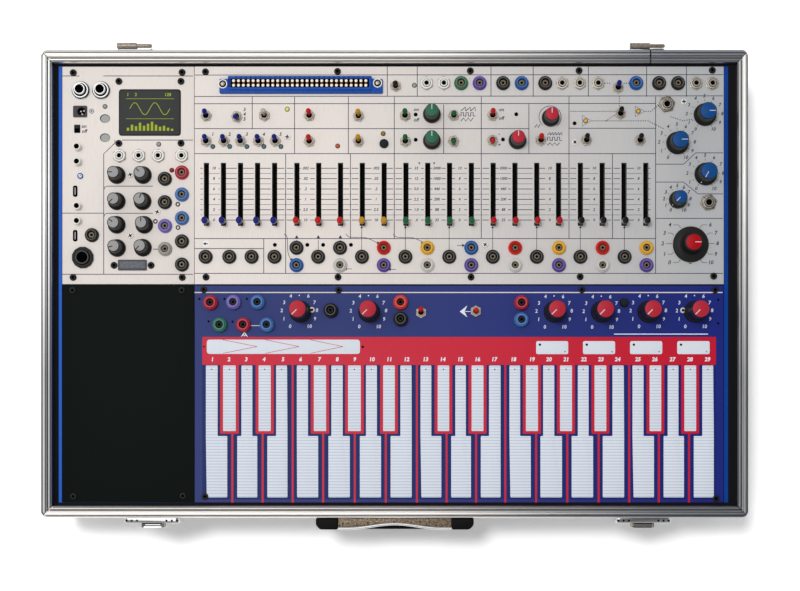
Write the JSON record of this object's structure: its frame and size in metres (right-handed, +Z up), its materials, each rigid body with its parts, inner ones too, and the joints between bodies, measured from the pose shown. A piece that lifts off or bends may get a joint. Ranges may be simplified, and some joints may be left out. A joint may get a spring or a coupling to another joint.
{
  "type": "modular synthesizer",
  "caption": "Compact modular synthesizer in the open base of an aluminium-framed carrying case, with panels of faders, knobs, switches, sockets and a touch keyboard.",
  "frame": {"origin": "middle of the footprint, on the surface that the case stands on", "axes": "+X along the width to the right, +Y from the handle to the hinges, +Z up out of the panels"},
  "size_m": [0.574, 0.3944, 0.1064],
  "materials": {
    "shell": "laminate",
    "aluminium": "brushed",
    "blue_enamel": "satin",
    "panel_silver": "anodised",
    "panel_black": "satin",
    "panel_blue": "satin",
    "board": "laminate",
    "chrome": "polished",
    "black_rubber": "matte",
    "black_plastic": "satin",
    "blue_plastic": "satin",
    "red_plastic": "satin",
    "yellow_plastic": "satin",
    "green_plastic": "satin"
  },
  "bodies": {
    "case": {"case_shell": "shell", "rim_frame": "aluminium", "module_tray": "blue_enamel", "io_panel": "panel_silver", "io_board": "board", "sound_panel": "panel_silver", "sound_board": "board", "blank_panel": "panel_black", "keyboard_panel": "panel_blue", "keyboard_board": "board", "handle_bracket": "chrome", "latch_base_left": "chrome", "latch_base_right": "chrome", "hinge_left": "chrome", "hinge_right": "chrome"},
    "fader_sequence_1": {"fader_sequence_1": "blue_plastic"},
    "fader_sequence_2": {"fader_sequence_2": "blue_plastic"},
    "fader_sequence_3": {"fader_sequence_3": "blue_plastic"},
    "fader_sequence_4": {"fader_sequence_4": "blue_plastic"},
    "fader_sequence_5": {"fader_sequence_5": "blue_plastic"},
    "fader_envelope_1": {"fader_envelope_1": "red_plastic"},
    "fader_envelope_2": {"fader_envelope_2": "red_plastic"},
    "fader_envelope_3": {"fader_envelope_3": "red_plastic"},
    "fader_pulse_1": {"fader_pulse_1": "yellow_plastic"},
    "fader_pulse_2": {"fader_pulse_2": "yellow_plastic"},
    "fader_modulation_1": {"fader_modulation_1": "green_plastic"},
    "fader_modulation_2": {"fader_modulation_2": "green_plastic"},
    "fader_modulation_3": {"fader_modulation_3": "green_plastic"},
    "fader_modulation_4": {"fader_modulation_4": "green_plastic"},
    "fader_tone_1": {"fader_tone_1": "red_plastic"},
    "fader_tone_2": {"fader_tone_2": "red_plastic"},
    "fader_tone_3": {"fader_tone_3": "red_plastic"},
    "fader_tone_4": {"fader_tone_4": "red_plastic"},
    "fader_level_1": {"fader_level_1": "black_plastic"},
    "fader_level_2": {"fader_level_2": "black_plastic"},
    "fader_level_3": {"fader_level_3": "black_plastic"},
    "fader_level_4": {"fader_level_4": "black_plastic"},
    "knob_modulation_range": {"knob_modulation_range": "black_plastic"},
    "knob_modulation_fine": {"knob_modulation_fine": "black_plastic"},
    "knob_carrier_range": {"knob_carrier_range": "black_plastic"},
    "knob_carrier_fine": {"knob_carrier_fine": "black_plastic"},
    "knob_channel_1": {"knob_channel_1": "black_plastic"},
    "knob_channel_2": {"knob_channel_2": "black_plastic"},
    "knob_reverb": {"knob_reverb": "black_plastic"},
    "knob_monitor": {"knob_monitor": "black_plastic"},
    "knob_main_volume": {"knob_main_volume": "black_plastic"},
    "knob_slide_time": {"knob_slide_time": "black_plastic"},
    "knob_pattern_rate": {"knob_pattern_rate": "black_plastic"},
    "knob_preset_1": {"knob_preset_1": "black_plastic"},
    "knob_preset_2": {"knob_preset_2": "black_plastic"},
    "knob_preset_3": {"knob_preset_3": "black_plastic"},
    "knob_preset_4": {"knob_preset_4": "black_plastic"},
    "switch_preamp_gain": {"switch_preamp_gain": "chrome"},
    "switch_pattern": {"switch_pattern": "red_plastic"},
    "switch_octave": {"switch_octave": "red_plastic"},
    "button_pulse": {"button_pulse": "black_plastic"},
    "button_reset": {"button_reset": "black_plastic"},
    "handle_grip": {"handle_grip": "black_rubber"},
    "latch_lever_left": {"latch_lever_left": "chrome"},
    "latch_lever_right": {"latch_lever_right": "chrome"}
  },
  "joints": [
    {"name": "handle_swing", "type": "hinge", "parent": "case", "child": "handle_grip", "pos_m": [0, -0.19315, 0.074], "axis": [-1, 0, 0], "range_deg": [0, 90]},
    {"name": "latch_left_swing", "type": "hinge", "parent": "case", "child": "latch_lever_left", "pos_m": [-0.1976, -0.19295, 0.077], "axis": [-1, 0, 0], "range_deg": [0, 100]},
    {"name": "latch_right_swing", "type": "hinge", "parent": "case", "child": "latch_lever_right", "pos_m": [0.2024, -0.19295, 0.077], "axis": [-1, 0, 0], "range_deg": [0, 100]},
    {"name": "switch_preamp_gain_tilt", "type": "hinge", "parent": "case", "child": "switch_preamp_gain", "pos_m": [0.18188, 0.16323, 0.0804], "axis": [1, 0, 0], "range_deg": [0, 24]},
    {"name": "switch_pattern_tilt", "type": "hinge", "parent": "case", "child": "switch_pattern", "pos_m": [0.02134, -0.01991, 0.0804], "axis": [1, 0, 0], "range_deg": [0, 24]},
    {"name": "switch_octave_tilt", "type": "hinge", "parent": "case", "child": "switch_octave", "pos_m": [0.06603, -0.01902, 0.0804], "axis": [1, 0, 0], "range_deg": [-12, 12]},
    {"name": "button_pulse_press", "type": "slide", "parent": "case", "child": "button_pulse", "axis": [0, 0, 1], "range_m": [-0.0015, 0], "stiffness_N_per_m": 400},
    {"name": "button_reset_press", "type": "slide", "parent": "case", "child": "button_reset", "axis": [0, 0, 1], "range_m": [-0.0015, 0], "stiffness_N_per_m": 400},
    {"name": "knob_preset_4_turn", "type": "hinge", "parent": "case", "child": "knob_preset_4", "pos_m": [0.24463, -0.01948, 0.08], "axis": [0, 0, 1], "range_deg": [-285, 15]},
    {"name": "knob_preset_3_turn", "type": "hinge", "parent": "case", "child": "knob_preset_3", "pos_m": [0.20663, -0.01948, 0.08], "axis": [0, 0, 1], "range_deg": [-285, 15]},
    {"name": "knob_preset_2_turn", "type": "hinge", "parent": "case", "child": "knob_preset_2", "pos_m": [0.16863, -0.01948, 0.08], "axis": [0, 0, 1], "range_deg": [-285, 15]},
    {"name": "knob_preset_1_turn", "type": "hinge", "parent": "case", "child": "knob_preset_1", "pos_m": [0.1302, -0.01948, 0.08], "axis": [0, 0, 1], "range_deg": [-285, 15]},
    {"name": "knob_pattern_rate_turn", "type": "hinge", "parent": "case", "child": "knob_pattern_rate", "pos_m": [-0.02093, -0.01948, 0.08], "axis": [0, 0, 1], "range_deg": [-285, 15]},
    {"name": "knob_slide_time_turn", "type": "hinge", "parent": "case", "child": "knob_slide_time", "pos_m": [-0.07706, -0.01948, 0.08], "axis": [0, 0, 1], "range_deg": [-285, 15]},
    {"name": "knob_main_volume_turn", "type": "hinge", "parent": "case", "child": "knob_main_volume", "pos_m": [0.24122, 0.03539, 0.08], "axis": [0, 0, 1], "range_deg": [-60, 240]},
    {"name": "knob_monitor_turn", "type": "hinge", "parent": "case", "child": "knob_monitor", "pos_m": [0.23072, 0.07184, 0.08], "axis": [0, 0, 1], "range_deg": [-285, 15]},
    {"name": "knob_reverb_turn", "type": "hinge", "parent": "case", "child": "knob_reverb", "pos_m": [0.25348, 0.09273, 0.08], "axis": [0, 0, 1], "range_deg": [-300, 0]},
    {"name": "knob_channel_2_turn", "type": "hinge", "parent": "case", "child": "knob_channel_2", "pos_m": [0.25287, 0.14118, 0.08], "axis": [0, 0, 1], "range_deg": [-60, 240]},
    {"name": "knob_channel_1_turn", "type": "hinge", "parent": "case", "child": "knob_channel_1", "pos_m": [0.23046, 0.11806, 0.08], "axis": [0, 0, 1], "range_deg": [-60, 240]},
    {"name": "knob_carrier_fine_turn", "type": "hinge", "parent": "case", "child": "knob_carrier_fine", "pos_m": [0.127, 0.13869, 0.08], "axis": [0, 0, 1], "range_deg": [-150, 150]},
    {"name": "knob_carrier_range_turn", "type": "hinge", "parent": "case", "child": "knob_carrier_range", "pos_m": [0.09997, 0.1202, 0.08], "axis": [0, 0, 1], "range_deg": [-150, 150]},
    {"name": "knob_modulation_fine_turn", "type": "hinge", "parent": "case", "child": "knob_modulation_fine", "pos_m": [0.03019, 0.12002, 0.08], "axis": [0, 0, 1], "range_deg": [-150, 150]},
    {"name": "knob_modulation_range_turn", "type": "hinge", "parent": "case", "child": "knob_modulation_range", "pos_m": [0.03019, 0.14153, 0.08], "axis": [0, 0, 1], "range_deg": [-150, 150]},
    {"name": "fader_sequence_1_slide", "type": "slide", "parent": "case", "child": "fader_sequence_1", "axis": [0, 1, 0], "range_m": [0, 0.045]},
    {"name": "fader_sequence_2_slide", "type": "slide", "parent": "case", "child": "fader_sequence_2", "axis": [0, 1, 0], "range_m": [0, 0.045]},
    {"name": "fader_sequence_3_slide", "type": "slide", "parent": "case", "child": "fader_sequence_3", "axis": [0, 1, 0], "range_m": [0, 0.045]},
    {"name": "fader_sequence_4_slide", "type": "slide", "parent": "case", "child": "fader_sequence_4", "axis": [0, 1, 0], "range_m": [0, 0.045]},
    {"name": "fader_sequence_5_slide", "type": "slide", "parent": "case", "child": "fader_sequence_5", "axis": [0, 1, 0], "range_m": [0, 0.045]},
    {"name": "fader_envelope_1_slide", "type": "slide", "parent": "case", "child": "fader_envelope_1", "axis": [0, 1, 0], "range_m": [0, 0.045]},
    {"name": "fader_envelope_2_slide", "type": "slide", "parent": "case", "child": "fader_envelope_2", "axis": [0, 1, 0], "range_m": [0, 0.045]},
    {"name": "fader_envelope_3_slide", "type": "slide", "parent": "case", "child": "fader_envelope_3", "axis": [0, 1, 0], "range_m": [0, 0.045]},
    {"name": "fader_pulse_1_slide", "type": "slide", "parent": "case", "child": "fader_pulse_1", "axis": [0, 1, 0], "range_m": [0, 0.045]},
    {"name": "fader_pulse_2_slide", "type": "slide", "parent": "case", "child": "fader_pulse_2", "axis": [0, 1, 0], "range_m": [0, 0.045]},
    {"name": "fader_modulation_1_slide", "type": "slide", "parent": "case", "child": "fader_modulation_1", "axis": [0, 1, 0], "range_m": [0, 0.045]},
    {"name": "fader_modulation_2_slide", "type": "slide", "parent": "case", "child": "fader_modulation_2", "axis": [0, 1, 0], "range_m": [0, 0.045]},
    {"name": "fader_modulation_3_slide", "type": "slide", "parent": "case", "child": "fader_modulation_3", "axis": [0, 1, 0], "range_m": [0, 0.045]},
    {"name": "fader_modulation_4_slide", "type": "slide", "parent": "case", "child": "fader_modulation_4", "axis": [0, 1, 0], "range_m": [0, 0.045]},
    {"name": "fader_tone_1_slide", "type": "slide", "parent": "case", "child": "fader_tone_1", "axis": [0, 1, 0], "range_m": [0, 0.045]},
    {"name": "fader_tone_2_slide", "type": "slide", "parent": "case", "child": "fader_tone_2", "axis": [0, 1, 0], "range_m": [0, 0.045]},
    {"name": "fader_tone_3_slide", "type": "slide", "parent": "case", "child": "fader_tone_3", "axis": [0, 1, 0], "range_m": [0, 0.045]},
    {"name": "fader_tone_4_slide", "type": "slide", "parent": "case", "child": "fader_tone_4", "axis": [0, 1, 0], "range_m": [0, 0.045]},
    {"name": "fader_level_1_slide", "type": "slide", "parent": "case", "child": "fader_level_1", "axis": [0, 1, 0], "range_m": [0, 0.045]},
    {"name": "fader_level_2_slide", "type": "slide", "parent": "case", "child": "fader_level_2", "axis": [0, 1, 0], "range_m": [0, 0.045]},
    {"name": "fader_level_3_slide", "type": "slide", "parent": "case", "child": "fader_level_3", "axis": [0, 1, 0], "range_m": [0, 0.045]},
    {"name": "fader_level_4_slide", "type": "slide", "parent": "case", "child": "fader_level_4", "axis": [0, 1, 0], "range_m": [0, 0.045]}
  ]
}
